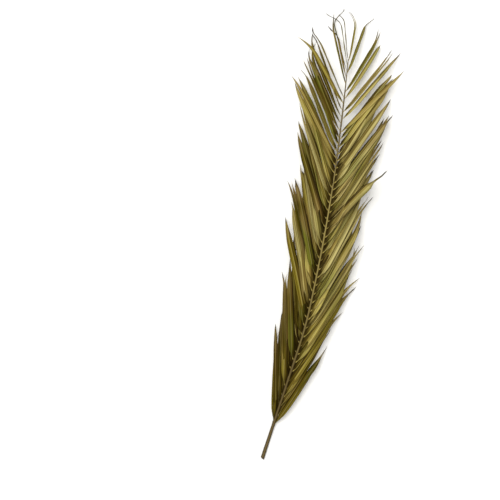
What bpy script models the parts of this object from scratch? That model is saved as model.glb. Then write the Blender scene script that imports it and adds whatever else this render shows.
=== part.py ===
"""A dried pinnate palm leaf, cut from its plant and lying face up on a flat surface.

The leaf grew as one piece, so it is one solid. A bare stalk runs on as a slender rib, and long narrow
leaflets stand along both sides of the rib, swept towards the tip. Each leaflet is folded along its middle
like a shallow gutter, open side up, and starts at the rib as a tight little fold. The leaflets of one side
overlap like louvres: each leans with its outer edge up, so that it passes over its lower neighbour without
touching it.

The dried rib arches off the surface. The leaf rests on a flat spot under the stalk and on the tips of some
leaflets at both sides. Units are metres, +Z is up and the leaf's tip points along +Y. The origin is the
middle of the bounding box's underside.
"""

import math
import random

import bpy
from mathutils import Vector

# The rib, from the cut end of the stalk to the root of the last leaflets
RIB_LENGTH = 0.704
STALK_LENGTH = 0.062
REST_LENGTH = 0.030
ARCH_HEIGHT = 0.038
ARCH_TURN = 0.86 * math.pi
ARCH_POWER = 1.3
RIB_STATIONS = 34
CUT_SLANT = math.radians(24)
CUT_END = Vector((-0.1196, -0.3869, 0.0))

# Direction of the rib, in degrees clockwise from +Y, against the share of its length
RIB_HEADINGS = ((0.0, 18.0), (0.27, 18.0), (0.42, 11.8), (0.62, 9.8), (0.80, 7.4), (1.0, 6.0))
RIB_WIDTHS = ((0.0, 0.0066), (0.10, 0.0056), (0.5, 0.0040), (0.85, 0.0025), (1.0, 0.0014))
RIB_HEIGHTS = ((0.0, 0.0060), (0.10, 0.0052), (0.5, 0.0040), (0.85, 0.0026), (1.0, 0.0015))

# Section of the rib in shares of its width and height, from its flat underside round to its ridge
RIB_SECTION = (
    (-0.20, 0.0),
    (0.20, 0.0),
    (0.44, 0.30),
    (0.50, 0.62),
    (0.24, 0.92),
    (0.0, 1.0),
    (-0.24, 0.92),
    (-0.50, 0.62),
    (-0.44, 0.30),
)

# The leaflets. Their measures run from the first pair, at 0, to the last one, at 1.
LEAFLET_PAIRS = 48
PITCH_SHRINK = 0.22
LEFT_OFFSET = 0.004
LEAFLET_LENGTHS = ((0.0, 0.158), (0.14, 0.186), (0.5, 0.184), (0.8, 0.158), (0.93, 0.128), (1.0, 0.092))
LEAFLET_HALF_WIDTHS = ((0.0, 0.0054), (0.2, 0.0068), (0.6, 0.0065), (0.85, 0.0050), (1.0, 0.0026))
RIGHT_ANGLES = (
    (0.0, 16.5),
    (0.2, 15.5),
    (0.36, 17.0),
    (0.53, 21.0),
    (0.7, 26.0),
    (0.82, 31.0),
    (1.15, -12.0),
)
LEFT_ANGLES = ((0.0, 16.0), (0.3, 19.5), (0.5, 23.0), (0.75, 28.0), (0.86, 27.0), (1.15, -9.0))
RISE_ANGLES = ((0.0, 4.0), (0.4, 6.0), (0.75, 6.0), (1.0, 5.0))
ROOT_ANGLES = ((0.0, 22.0), (0.16, 56.0), (0.8, 58.0), (1.0, 24.0))
ROOT_BEND = 0.006
ROOT_DEPTH = 0.22
ROOT_LEVEL = 0.60
TIP_LEVEL = 0.006
THICKNESS = 0.0007
SEED = 76

# Along one leaflet, from its root at 0 to its tip at 1
LEAFLET_STATIONS = (0.0, 0.04, 0.09, 0.22, 0.50, 0.78, 1.0)
BLADE_WIDTHS = ((0.0, 0.24), (0.04, 0.46), (0.09, 0.8), (0.22, 1.0), (0.5, 0.96), (0.78, 0.68), (1.0, 0.09))
BLADE_FOLDS = ((0.0, 58.0), (0.04, 44.0), (0.09, 25.0), (0.22, 16.0), (1.0, 12.0))
BLADE_LEANS = ((0.0, 56.0), (0.09, 43.0), (0.22, 42.0), (0.6, 36.0), (1.0, 25.0))
TIP_DROOP = 8
PATH_LEAN = math.radians(38)
PATH_STEPS = 120

# What differs from leaflet to leaflet, as the largest change. Bends and lengths are shares of the length.
SIDE_BEND = 0.055
BEND_POWER = 1.4
LARGEST_RISE = 0.016
LENGTH_CHANGE = 0.07
WIDTH_CHANGES = ((0.0, 0.16), (0.65, 0.16), (0.8, 0.36), (1.0, 0.36))
ROOT_SHIFT = 0.0010
CLEARANCES = (0.0, 0.0, 0.0006, 0.0016, 0.0030)

# Leaflets that swing outward over their neighbours, by side (1 is right) and number, with the bend added
STRAYS = {
    (1, 23): 0.22,
    (1, 27): 0.09,
    (1, 28): 0.12,
    (1, 35): 0.07,
    (1, 36): 0.13,
    (1, 38): 0.05,
    (1, 42): -0.06,
    (-1, 12): 0.08,
    (-1, 30): 0.10,
}

# Leaflets that stay short, in the same way, with their length as a share of their neighbours'
SHORT_ONES = {(1, 23): 0.78, (1, 31): 0.86, (1, 39): 0.90, (-1, 25): 0.84, (-1, 44): 0.76}

# Leaflets that have broken off
LOST_ONES = ((1, 37), (1, 40), (1, 43), (1, 44), (1, 46), (-1, 42))

LEAF_COLOUR = (0.262, 0.205, 0.051, 1.0)
LEAF_ROUGHNESS = 0.62


def keyed(share, keys):
    """The value at share, read from (share, value) keys with a smooth step between each two."""
    for (low, first), (high, last) in zip(keys, keys[1:]):
        if share <= high:
            step = max(0.0, (share - low) / (high - low))
            return first + (last - first) * step * step * (3 - 2 * step)
    return keys[-1][1]


def rib_underside(distance):
    """The middle of the rib's underside at this distance from the cut end."""
    place = CUT_END.copy()
    steps = max(1, round(distance / 0.002))
    for number in range(steps):
        heading = math.radians(keyed((number + 0.5) / steps * distance / RIB_LENGTH, RIB_HEADINGS))
        place += Vector((math.sin(heading), math.cos(heading), 0)) * distance / steps
    risen = max(0.0, distance - REST_LENGTH) / (RIB_LENGTH - REST_LENGTH)
    place.z = ARCH_HEIGHT * math.sin(ARCH_TURN * risen) ** ARCH_POWER
    return place


def rib_axes(distance):
    """Unit vectors at this distance: along the rib, to its right and out of its face."""
    step = 0.001
    along = (rib_underside(distance + step) - rib_underside(max(0.0, distance - step))).normalized()
    if distance <= REST_LENGTH - step:
        along = Vector((along.x, along.y, 0)).normalized()
    right = along.cross(Vector((0, 0, 1))).normalized()
    return along, right, right.cross(along)


def rib_size(distance):
    share = distance / RIB_LENGTH
    return keyed(share, RIB_WIDTHS), keyed(share, RIB_HEIGHTS)


def mesh_object(name, points, faces):
    mesh = bpy.data.meshes.new(name)
    mesh.from_pydata(points, [], faces)
    mesh.validate()
    return bpy.data.objects.new(name, mesh)


def rib_object():
    """The stalk and rib as one tapering bar, flat underneath, with a slanted cut at its lower end."""
    points, faces = [], []
    count = len(RIB_SECTION)
    arched = RIB_LENGTH - REST_LENGTH
    distances = [0.0] + [REST_LENGTH + arched * number / RIB_STATIONS for number in range(RIB_STATIONS + 1)]
    for distance in distances:
        along, right, out = rib_axes(distance)
        width, height = rib_size(distance)
        slant = math.tan(CUT_SLANT) * width if distance == 0 else 0.0
        for across, up in RIB_SECTION:
            place = rib_underside(distance) + right * across * width + out * up * height
            points.append(place + along * slant * (0.5 - across))
    for ring in range(len(distances) - 1):
        for corner in range(count):
            a = ring * count + corner
            b = ring * count + (corner + 1) % count
            faces.append((a, a + count, b + count, b))
    last = (len(distances) - 1) * count
    faces.append(tuple(range(count)))
    faces.append(tuple(reversed(range(last, last + count))))
    return mesh_object("palm_leaf", points, faces)


def raised(sideways):
    """How far a leaflet rises where it swings outward, or sinks where it swings inward, to clear others."""
    rise = sideways * math.tan(PATH_LEAN)
    return rise if rise < 0 else LARGEST_RISE * (1 - math.exp(-rise / LARGEST_RISE))


def leaflet_path(root, along, outward, angles, rise, length, full_length, side_bend):
    """Centre points of a leaflet, one for each path step, and its directions in plan there.

    It leaves the rib at the first angle, turns forward to the second one within a short bend, rises and
    then droops the way its neighbours do. The side bend moves it within its own leaning plane, which keeps
    it clear of them.
    """
    fall = (TIP_LEVEL - root.z - rise * full_length) / full_length**2
    places, directions = [], []
    plan = root.copy()
    for number in range(PATH_STEPS + 1):
        distance = length * number / PATH_STEPS
        turned = angles[1] + (angles[0] - angles[1]) * math.exp(-distance / ROOT_BEND)
        forward = along * math.cos(turned) + outward * math.sin(turned)
        beside = outward * math.cos(turned) - along * math.sin(turned)
        share = distance / length
        sideways = side_bend * length * share**BEND_POWER
        place = plan + beside * sideways
        place.z = root.z + rise * distance + fall * distance**2 + raised(sideways)
        places.append(place)
        directions.append((forward, beside))
        plan += forward * length / PATH_STEPS
    return places, directions


def blade_section(centre, forward, beside, half_width, fold, lean):
    """Six corners of the folded blade: outer edge, keel and inner edge on its face, then on its back."""
    across = beside * math.cos(lean) + Vector((0, 0, math.sin(lean)))
    normal = Vector((0, 0, math.cos(lean))) - beside * math.sin(lean)
    half = THICKNESS / 2
    corners = []
    for face in (1, -1):
        for wing in (1, 0, -1):
            if wing:
                reach = half_width * math.cos(fold) - face * half * math.sin(fold)
                height = half_width * math.sin(fold) + face * half * math.cos(fold)
            else:
                reach = 0.0
                height = face * half / math.cos(fold)
            corners.append(centre + across * wing * reach + normal * height)
    return corners


def leaflet_points(sections, clearance):
    """All corners, with the tip raised or lowered until the lowest one is that clear of the surface."""
    lowest = min(corner.z for section in sections for corner in section)
    for _ in range(4):
        for share, section in zip(LEAFLET_STATIONS, sections):
            for corner in section:
                corner.z += (clearance - lowest) * share**TIP_DROOP
        lowest = min(corner.z for section in sections for corner in section)
    return [corner for section in sections for corner in section]


def leaflet_faces():
    """Triangles of a leaflet. Face and back are split along the same diagonals and never cross."""
    outer, keel, inner, outer_back, keel_back, inner_back = range(6)
    faces = []
    for station in range(len(LEAFLET_STATIONS) - 1):
        here = station * 6
        there = here + 6
        for first, second in (
            (outer, keel),
            (keel, inner),
            (inner, inner_back),
            (inner_back, keel_back),
            (keel_back, outer_back),
            (outer_back, outer),
        ):
            if (first, second) in ((inner_back, keel_back), (keel_back, outer_back)):
                faces.append((here + first, there + first, here + second))
                faces.append((here + second, there + first, there + second))
            else:
                faces.append((here + first, there + first, there + second))
                faces.append((here + first, there + second, here + second))
    last = (len(LEAFLET_STATIONS) - 1) * 6
    for base, turn in ((0, 1), (last, -1)):
        for triangle in (
            (outer, keel, keel_back),
            (outer, keel_back, outer_back),
            (keel, inner, inner_back),
            (keel, inner_back, keel_back),
        ):
            faces.append(tuple(base + corner for corner in triangle[::turn]))
    return faces


def leaflet_places():
    """Side and number of every leaflet that the leaf still has, pair by pair from the stalk up."""
    pairs = [(side, number) for number in range(LEAFLET_PAIRS) for side in (1, -1)]
    return [place for place in pairs if place not in LOST_ONES]


def leaflet_object(side, number, draw):
    """One leaflet, on the right side of the rib where side is 1 and on the left side where it is -1."""
    share = number / (LEAFLET_PAIRS - 1)
    spread = share + PITCH_SHRINK * share * (1 - share)
    shift = ROOT_SHIFT * draw.uniform(-1, 1)
    length_factor = 1 - LENGTH_CHANGE * draw.random()
    width_factor = 1 - keyed(share, WIDTH_CHANGES) * draw.random()
    side_bend = SIDE_BEND * draw.uniform(-1, 1) + STRAYS.get((side, number), 0.0)
    clearance = draw.choice(CLEARANCES)

    bearing_length = RIB_LENGTH - STALK_LENGTH - LEFT_OFFSET
    distance = STALK_LENGTH + bearing_length * spread + (LEFT_OFFSET if side < 0 else 0.0)
    distance = min(distance + shift, RIB_LENGTH - 0.0005)
    along, right, out = rib_axes(distance)
    width, height = rib_size(distance)
    root = rib_underside(distance) + out * height * ROOT_LEVEL + right * side * width * ROOT_DEPTH
    level_along = Vector((along.x, along.y, 0)).normalized()
    blade_angles = RIGHT_ANGLES if side > 0 else LEFT_ANGLES
    angles = [math.radians(keyed(share, keys)) for keys in (ROOT_ANGLES, blade_angles)]
    rise = math.tan(math.radians(keyed(share, RISE_ANGLES))) + along.z * math.cos(angles[1])
    full_length = keyed(share, LEAFLET_LENGTHS)
    length = full_length * min(length_factor, SHORT_ONES.get((side, number), 1.0))
    places, directions = leaflet_path(
        root, level_along, right * side, angles, rise, length, full_length, side_bend
    )

    sections = []
    for station in LEAFLET_STATIONS:
        step = round(station * PATH_STEPS)
        forward, beside = directions[step]
        half_width = keyed(share, LEAFLET_HALF_WIDTHS) * keyed(station, BLADE_WIDTHS) * width_factor
        fold = math.radians(keyed(station, BLADE_FOLDS))
        lean = math.radians(keyed(station, BLADE_LEANS))
        sections.append(blade_section(places[step], forward, beside, half_width, fold, lean))
    faces = leaflet_faces()
    if side < 0:
        faces = [face[::-1] for face in faces]
    name = f"leaflet_{'right' if side > 0 else 'left'}_{number:02d}"
    return mesh_object(name, leaflet_points(sections, clearance), faces)


def dried_leaf_material():
    material = bpy.data.materials.new("dried_leaf")
    material.use_nodes = True
    shader = material.node_tree.nodes["Principled BSDF"]
    shader.inputs["Base Color"].default_value = LEAF_COLOUR
    shader.inputs["Roughness"].default_value = LEAF_ROUGHNESS
    shader.inputs["Metallic"].default_value = 0.0
    material.diffuse_color = LEAF_COLOUR
    return material


def clear_scene():
    for thing in list(bpy.data.objects):
        bpy.data.objects.remove(thing)


def grow_leaf():
    """Joins all leaflets to the rib and returns the one solid that they make."""
    clear_scene()
    leaf = rib_object()
    bpy.context.scene.collection.objects.link(leaf)
    leaflets = bpy.data.collections.new("leaflets")
    bpy.context.scene.collection.children.link(leaflets)
    draw = random.Random(SEED)
    for side, number in leaflet_places():
        leaflets.objects.link(leaflet_object(side, number, draw))

    union = leaf.modifiers.new("leaflets", "BOOLEAN")
    union.operation = "UNION"
    union.operand_type = "COLLECTION"
    union.collection = leaflets
    union.solver = "MANIFOLD"
    bpy.context.view_layer.objects.active = leaf
    bpy.ops.object.modifier_apply(modifier=union.name)
    for thing in list(leaflets.objects):
        bpy.data.objects.remove(thing)
    bpy.data.collections.remove(leaflets)

    leaf.data.materials.clear()
    leaf.data.materials.append(dried_leaf_material())
    leaf.data.shade_flat()
    return leaf


if __name__ == "__main__":
    grow_leaf()
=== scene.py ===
import math
import random

import bpy
import numpy as np
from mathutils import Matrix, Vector


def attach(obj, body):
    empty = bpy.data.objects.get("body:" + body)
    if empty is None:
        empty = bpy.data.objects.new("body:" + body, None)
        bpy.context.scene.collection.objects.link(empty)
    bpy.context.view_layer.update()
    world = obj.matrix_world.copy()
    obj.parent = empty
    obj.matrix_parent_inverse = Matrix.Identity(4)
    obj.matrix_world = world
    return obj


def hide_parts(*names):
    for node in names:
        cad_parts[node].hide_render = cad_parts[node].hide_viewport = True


# The rib's plan, in metres and degrees, as the solid model has it
RIB_LENGTH = 0.704
STALK_LENGTH = 0.062
REST_LENGTH = 0.030
ARCH_HEIGHT = 0.038
ARCH_TURN = 0.86 * math.pi
ARCH_POWER = 1.3
CUT_SLANT = math.radians(24)
CUT_END = Vector((-0.1196, -0.3869, 0.0))
RIB_HEADINGS = ((0.0, 18.0), (0.27, 18.0), (0.42, 11.8), (0.62, 9.8), (0.80, 7.4), (1.0, 6.0))
RIB_WIDTHS = ((0.0, 0.0066), (0.10, 0.0056), (0.5, 0.0040), (0.85, 0.0025), (1.0, 0.0014))
RIB_HEIGHTS = ((0.0, 0.0060), (0.10, 0.0052), (0.5, 0.0040), (0.85, 0.0026), (1.0, 0.0015))
HEADING_STEP = 0.002
AXIS_STEP = 0.001
END_MARGIN = 0.0005

# The rib's section, in shares of its width and height
RIB_SECTION = (
    (-0.20, 0.0),
    (0.20, 0.0),
    (0.44, 0.30),
    (0.50, 0.62),
    (0.24, 0.92),
    (0.0, 1.0),
    (-0.24, 0.92),
    (-0.50, 0.62),
    (-0.44, 0.30),
)

# The leaflets' plan, as the solid model has it
LEAFLET_PAIRS = 48
PITCH_SHRINK = 0.22
LEFT_OFFSET = 0.004
LEAFLET_LENGTHS = ((0.0, 0.158), (0.14, 0.186), (0.5, 0.184), (0.8, 0.158), (0.93, 0.128), (1.0, 0.092))
LEAFLET_HALF_WIDTHS = ((0.0, 0.0054), (0.2, 0.0068), (0.6, 0.0065), (0.85, 0.0050), (1.0, 0.0026))
RIGHT_ANGLES = (
    (0.0, 16.5),
    (0.2, 15.5),
    (0.36, 17.0),
    (0.53, 21.0),
    (0.7, 26.0),
    (0.82, 31.0),
    (1.15, -12.0),
)
LEFT_ANGLES = ((0.0, 16.0), (0.3, 19.5), (0.5, 23.0), (0.75, 28.0), (0.86, 27.0), (1.15, -9.0))
RISE_ANGLES = ((0.0, 4.0), (0.4, 6.0), (0.75, 6.0), (1.0, 5.0))
ROOT_ANGLES = ((0.0, 22.0), (0.16, 56.0), (0.8, 58.0), (1.0, 24.0))
ROOT_BEND = 0.006
ROOT_DEPTH = 0.22
ROOT_LEVEL = 0.60
TIP_LEVEL = 0.006
PATH_LEAN = math.radians(38)
PATH_STEPS = 120

# What differs from leaflet to leaflet in the solid model too. 1 is the right side and -1 the left side.
SEED = 76
SIDE_BEND = 0.055
BEND_POWER = 1.4
LARGEST_RISE = 0.016
LENGTH_CHANGE = 0.07
WIDTH_CHANGES = ((0.0, 0.16), (0.65, 0.16), (0.8, 0.36), (1.0, 0.36))
ROOT_SHIFT = 0.0010
CLEARANCES = (0.0, 0.0, 0.0006, 0.0016, 0.0030)
STRAYS = {
    (1, 23): 0.22,
    (1, 27): 0.09,
    (1, 28): 0.12,
    (1, 35): 0.07,
    (1, 36): 0.13,
    (1, 38): 0.05,
    (1, 42): -0.06,
    (-1, 12): 0.08,
    (-1, 30): 0.10,
}
SHORT_ONES = {(1, 23): 0.78, (1, 31): 0.86, (1, 39): 0.90, (-1, 25): 0.84, (-1, 44): 0.76}
LOST_ONES = ((1, 37), (1, 40), (1, 43), (1, 44), (1, 46), (-1, 42))

# Chances that a leaflet is lifted, rolled up, snapped off, drawn out to a thread or split, and how they grow
DETAIL_SEED = 4
LIFT_CHANCE = 0.42
ROLL_CHANCE = 0.10
ROLL_CHANCE_AT_LEFT_TIP = 1.1
SNAP_CHANCE = 0.05
SNAP_CHANCE_AT_TIP = 0.15
THREAD_CHANCE = 0.10
THREAD_CHANCE_AT_TIP = 0.85
THREAD_CHANCE_ABOVE = 0.30
SPLIT_CHANCE = 0.26

# Parts of the leaf, as runs of the leaflets' share along the rib
TIP_ZONE = (0.74, 1.0)
UPPER_ZONE = (0.52, 0.74)
UPPER_ON_RIGHT = 0.4
LOW_ZONE = (0.5, 0.0)
SLOW_TOP_ZONE = (0.60, 0.78)
SLOW_BASE_ZONE = (0.09, 0.0)

# How a leaflet lies, in metres, shares of its length or width, and degrees
LOOSE_LIFTS = (0.0035, 0.0055)
LYING_LIFTS = (-0.0004, 0.0008)
LIFTED_FLATNESS = (0.60, 0.95)
LYING_FLATNESS = (0.30, 0.52)
LOOSE_SWAY = 0.026
LYING_SWAY = 0.007
SWAY_GROWTH = ((0.0, 0.2), (0.1, 1.0))
SWAY_AT_TIP = 1.2
SWAY_ABOVE = 0.8
ROLLED_WIDTHS = (0.34, 0.55)
ROLLED_WIDER_BELOW = 0.30
ROLLED_WIDER_AT_TIP = 0.15
WHOLE_WIDTHS = (0.94, 1.10)
LYING_WIDER = 0.08
SLIMMER_ABOVE = 0.32
SLOW_STARTS = (0.4, 0.9)
TAPER = 0.15
TAPER_LOW_RIGHT = 0.50
TWIST = 9
TIP_TWIST = 26

# How a leaflet curls and waves
CURL = -0.008
CURL_LOW_RIGHT = 0.030
CURL_AT_RIGHT_TIP = -0.030
CURL_CHANGE = 0.016
CURL_CHANGE_LOW_RIGHT = 0.034
CURL_CHANGE_ABOVE = 0.028
CURL_CHANGE_AT_TIP = 0.055
LARGEST_CURL_UP = 0.030
WAVES = (0.00015, 0.0007)
WAVE_COUNTS = (2.0, 5.0)
WAVE_TURN = 6.28
FOLDS = (0.45, 1.05)
ROLLED_FOLD = 1.6
CUPS = (-0.25, 0.45)

# Where a leaflet narrows, snaps, dries, thins to a thread, is cut or splits, as shares of its length
TIP_STARTS = (0.90, 0.97)
SNAPPED_ENDS = (0.80, 0.93)
SNAPPED_LOWER_AT_TIP = 0.15
DRY_STARTS = (0.88, 0.985)
DRY_LOWER_AT_TIP = 0.10
ROLLED_DRY_LOWER = 0.45
THREAD_STARTS = (0.86, 0.94)
THREAD_LOWER_AT_TIP = 0.22
NO_THREAD = 2.0
LONG_THREADS = {(1, 23): 0.70, (1, 28): 0.84, (1, 45): 0.78}
CUT_STARTS = (0.80, 0.93)
SPLIT_STARTS = (0.55, 0.90)
SPLIT_WIDTHS = (0.010, 0.026)

# Tints along the leaf on each side, from 0 for dark olive to 1 for pale straw, and how much they vary
TINTS = {
    1: ((0.0, 0.05), (0.40, 0.744), (0.42, 0.7712), (0.52, 0.7712), (0.74, 0.5152), (1.0, 0.5152)),
    # The left side's tints are lower than the right's: painted shade on that side
    -1: ((0.0, -0.06), (0.42, 0.3432), (0.52, 0.3032), (0.74, 0.0352), (1.0, -0.0688)),
}
TINT_CHANGES = {1: ((0.0, 0.06), (0.3, 0.16)), -1: ((0.0, 0.17), (0.3, 0.325), (0.6, 0.38))}
# Painted light: lifted leaflets are painted paler than the ones lying under them
LIFTED_PAINTED_LIGHT = ((0.0, 0.02), (0.45, 0.14))
ROLLED_TIP_TINT = -0.30
LARGEST_TINT = 0.72

# A blade's form along its length: widths as shares of its own, folds and leans in degrees
BLADE_WIDTHS = (
    (0.0, 0.18),
    (0.02, 0.24),
    (0.05, 0.44),
    (0.09, 0.84),
    (0.17, 1.0),
    (0.60, 0.96),
    (0.84, 0.70),
    (0.95, 0.40),
    (1.0, 0.10),
)
INNER_WIDTHS = (
    (0.0, 1.0),
    (0.010, 1.7),
    (0.025, 3.6),
    (0.05, 3.2),
    (0.09, 2.1),
    (0.17, 1.15),
    (1.0, 1.0),
)
BLADE_FOLDS = ((0.0, 58.0), (0.04, 44.0), (0.09, 25.0), (0.22, 16.0), (1.0, 12.0))
BLADE_LEANS = ((0.0, 56.0), (0.09, 43.0), (0.22, 42.0), (0.6, 36.0), (1.0, 25.0))
STATIONS = 54
EVEN_SPACING = 0.62
CROWDING_POWER = 1.25
TIP_DROOP = 8
SEATING_ROUNDS = 5
LEAST_CLEARANCE = 0.0002

# Runs along a blade where something grows from nothing to its full amount
CURL_RUN = (0.68, 1.0)
TIP_RUN = (0.72, 1.0)
LIFT_RUN = (0.05, 0.21)
TWIST_RUN = (0.15, 0.45)
FOLD_RUN = (0.0, 0.2)
CUP_RUN = (0.0, 0.25)
WAVE_RUN = (0.0, 0.3)
WIDTH_RUN = (0.02, 0.12)
SLOW_RUN = (0.0, 0.36)
TAPER_RUN = (0.68, 0.90)
SNAP_RUN = (0.965, 1.0)
SNAP_DRY_RUN = (0.95, 1.0)

# How much a blade narrows, and how it ends
LEAST_WIDTH = 0.02
SLOW_NARROWING = 0.62
TIP_NARROWING = 0.5
SNAP_NARROWING = 0.75
CUT_NARROWING = 0.85
NARROWING_POWER = 0.8
TIP_TWIST_POWER = 1.5
SPLIT_POWER = 1.4
THREAD_NARROWING = 0.62
THREAD_NARROWING_RUN = 0.07
THREAD_HALF_WIDTH = 0.0013
THREAD_RUN = 0.05
THREAD_POINT_RUN = 0.04
THREAD_POINT = 0.3
THREAD_BEND = 0.11
THREAD_BEND_RUN = 0.12
THREAD_BEND_LIMIT = 1.5

# A blade's section, in metres and shares of its half width
FACE_ACROSS = 10
BACK_ACROSS = 6
EDGE_CROWDING = 0.55
KEEL_ROUNDING = 0.10
CUP_DEPTH = 0.22
INNER_WAVE = -0.7
WAVE_POWER = 1.6
BLADE_THICKNESS = 0.00032
EDGE_POWER = 0.35
ROOT_BULK = 1.6
ROOT_BULK_RUN = 0.035
THIN_PART = 0.35
THICK_HALF_WIDTH = 0.003
MIDRIB_THICKNESS = 0.00055
MIDRIB_REACH = 0.13
MIDRIB_HALF_WIDTH = 0.004
MIDRIB_LEAST = 0.1
MIDRIB_BODY = 0.02

# What a blade's material reads, and where it lies on the bake's square
DRY_AT_START = 0.25
LEAST_DRY_RUN = 0.01
GRAIN_STEP = 0.0731
CELL_GAP = 0.0016
FACE_CELL_HEIGHT = 0.35
BACK_CELL_HEIGHT = 0.30

# The rib's finer form
RIB_SIDES = 28
RIB_RINGS = 300
REST_RINGS = 14
SECTION_MIDDLE = (0.0, 0.5)
UNDERSIDE_LEVEL = 0.05
SLANT_LENGTH = 0.004
SWELL_HEIGHT = 0.00042
SWELL_LENGTH = 0.0024
SWELL_AHEAD = 0.001
SWELL_REACH = 0.01
SWELL_LEVEL = 0.35
SWELL_SIDE = 0.2
SWELL_RIB_WIDTH = 0.004
FLUTE_DEPTH = 0.00007
RIB_GRAIN_STEP = 0.0006
RIB_GRAIN = 3.3
RIB_TINT = 0.5
CUT_RINGS = 5
CUT_RING_PITCH = 5.4
FIBRE_HEIGHT = 0.00035

# The rib's places on the bake's square: a wide sheet for its length and a small disc for its cut end
SHEET_START = (0.002, 0.12)
SHEET_SIZE = (0.996, 0.876)
SHEET_END = (0.998, 0.5)
DISC_MIDDLE = 0.06
DISC_RADIUS = 0.045
DISC_STEP = 0.18

# Noise patterns: how they are stretched across, along and from leaflet to leaflet, their detail and roughness
DRIFT = ((60, 14, 10), 3.0, 0.5)
GREEN_PATTERN = ((25, 7, 17), 1.0, 0.5)
RUDDY_PATTERN = ((30, 9, 31), 1.0, 0.5)
STREAKS = ((2600, 16, 10), 2.0, 0.6)
BANDS = ((420, 5, 10), 1.0, 0.5)
SPOTS = ((420, 90, 10), 3.0, 0.7)
FIBRES = ((3600, 30, 10), 2.0, 0.6)
RIB_STREAKS = ((1500, 22, 1), 3.0, 0.6)
RIB_BLOTCHES = ((220, 45, 1), 3.0, 0.65)
CUT_FIBRES = 2600.0

# Colours as they show, from 0 to 255, and the values that they belong to
LEAFLET_STOPS = (
    (0.0, (92, 80, 20)),
    (0.25, (128, 114, 36)),
    (0.50, (181, 167, 88)),
    (0.75, (185, 173, 112)),
    (1.0, (196, 186, 134)),
)
STREAK_STOPS = ((0.30, (140, 128, 100)), (0.55, (255, 255, 255)))
STREAK_STRENGTH = 0.7
BAND_STOPS = ((0.40, (132, 118, 84)), (0.54, (255, 255, 255)))
BAND_STRENGTH = 0.68
# A pale midrib along each blade's fold, painted brighter as a highlight
KEEL_AND_HIGHLIGHT_COLOUR = (186, 172, 102)
UNDERSIDE_COLOUR = (150, 141, 104)
UNDERSIDE_STRENGTH = 0.5
RIB_STOPS = ((0.28, (100, 86, 36)), (0.5, (140, 124, 58)), (0.75, (168, 152, 80)))
CUT_STOPS = ((0.15, (156, 132, 92)), (0.6, (58, 44, 32)))

# Patches of colour: the run over which each one grows, how strong it gets, and its colour as it shows
BROWNER = ((0.50, 0.72), 0.55, (124, 100, 52))
GREENER = ((0.50, 0.62), 0.55, (110, 115, 40))
RUDDIER = ((0.52, 0.64), 0.42, (160, 136, 84))
SPOTTED = ((0.66, 0.78), 0.60, (84, 62, 36))
# Painted shade: a dark line along each blade's edges, for the shadow gaps between blades
PAINTED_EDGE_SHADE = ((0.93, 1.03), 0.65, (64, 49, 12))
FADED_END = ((0.70, 0.96), 0.60, (118, 98, 62))
STALK_BROWN = ((0.66, 0.16), 0.90, (80, 63, 22))
RIB_FLANK = ((0.96, 0.78), 0.80, (112, 92, 52))
RIB_END = ((0.60, 0.85), 0.75, (80, 65, 38))
RIB_BLOTCHED = ((0.58, 0.72), 0.55, (78, 60, 34))
CUT_RIM = ((0.008, 0.0), 1.0, (62, 48, 34))

# Patches whose masks are made apart: how strong each one gets, and its colour as it shows
# Painted shade: the inner half of each blade darker than its outer half
INNER_HALF_PAINTED_SHADE = (0.70, (190, 178, 128))
# Painted shade: the inner half darker still along its edge, where it tucks under the next blade
TUCKED_PAINTED_SHADE = (0.70, (98, 82, 36))
DRY_END = (0.95, (34, 25, 16))
# Painted shade near each blade's root, where the blades crowd over each other beside the rib
SHADED_ROOT = (0.92, (40, 29, 4))
STUB = (0.85, (172, 152, 78))

# The runs of those masks: in shares along the blade, in shares of its half width or in metres from its fold
INNER_HALF_METRES = (0.0004, -0.0004)
TUCKED_ACROSS = (0.55, 0.80)
INNER_SHADE_ALONG = (0.15, 0.05)
INNER_SHADE_METRES = (-0.0003, -0.0018)
OUTER_SHADE_ALONG = (0.10, 0.04)
OUTER_SHADE_METRES = (0.0008, 0.0020)
OUTER_SHADE = 0.7
STUB_ALONG = (0.046, 0.022)
STUB_ACROSS = (0.30, 0.20)
KEEL_ACROSS = (0.13, 0.05)
KEEL_STRENGTH = 0.28
KEEL_STRENGTH_BY_TINT = 0.5
EDGE_DRIFT = 0.1
END_DRIFT = 0.35
DRIFT_MIDDLE = 0.5

# Gloss and relief, whose two values are its strength and its depth in metres
LEAFLET_ROUGHNESS = (0.44, 0.72)
LEAFLET_SPECULAR = 0.02
LEAFLET_RELIEF = (0.55, 0.00022)
DRIFT_RELIEF = 1.5
RIB_ROUGHNESS = (0.36, 0.64)
RIB_SPECULAR = 0.28
RIB_RELIEF = (0.6, 0.0003)

# The photograph's scale and the pixel that the cut end lies on, for a camera that looks straight down
METRES_PER_PIXEL = 0.00172
CUT_END_PIXEL = (262.0, 459.0)
PICTURE = 500
CAMERA_HEIGHT = 3.2
SENSOR = 36.0

# The studio
WORLD_STRENGTH = 0.74
FLOOR_REACH = 12.0
FLOOR_COLOUR = (0.96, 0.95, 0.92, 1.0)
FLOOR_ROUGHNESS = 0.9
FLOOR_SPECULAR = 0.2
KEY_PLACE = Vector((-0.85, 0.6, 3.0))
KEY_SIZE = 2.3
KEY_POWER = 74.0

UP = np.array([0.0, 0.0, 1.0])


def keyed(share, keys):
    """The value at share, read from (share, value) keys with a smooth step between each two."""
    for (low, first), (high, last) in zip(keys, keys[1:]):
        if share <= high:
            step = max(0.0, (share - low) / (high - low))
            return first + (last - first) * step * step * (3 - 2 * step)
    return keys[-1][1]


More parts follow.
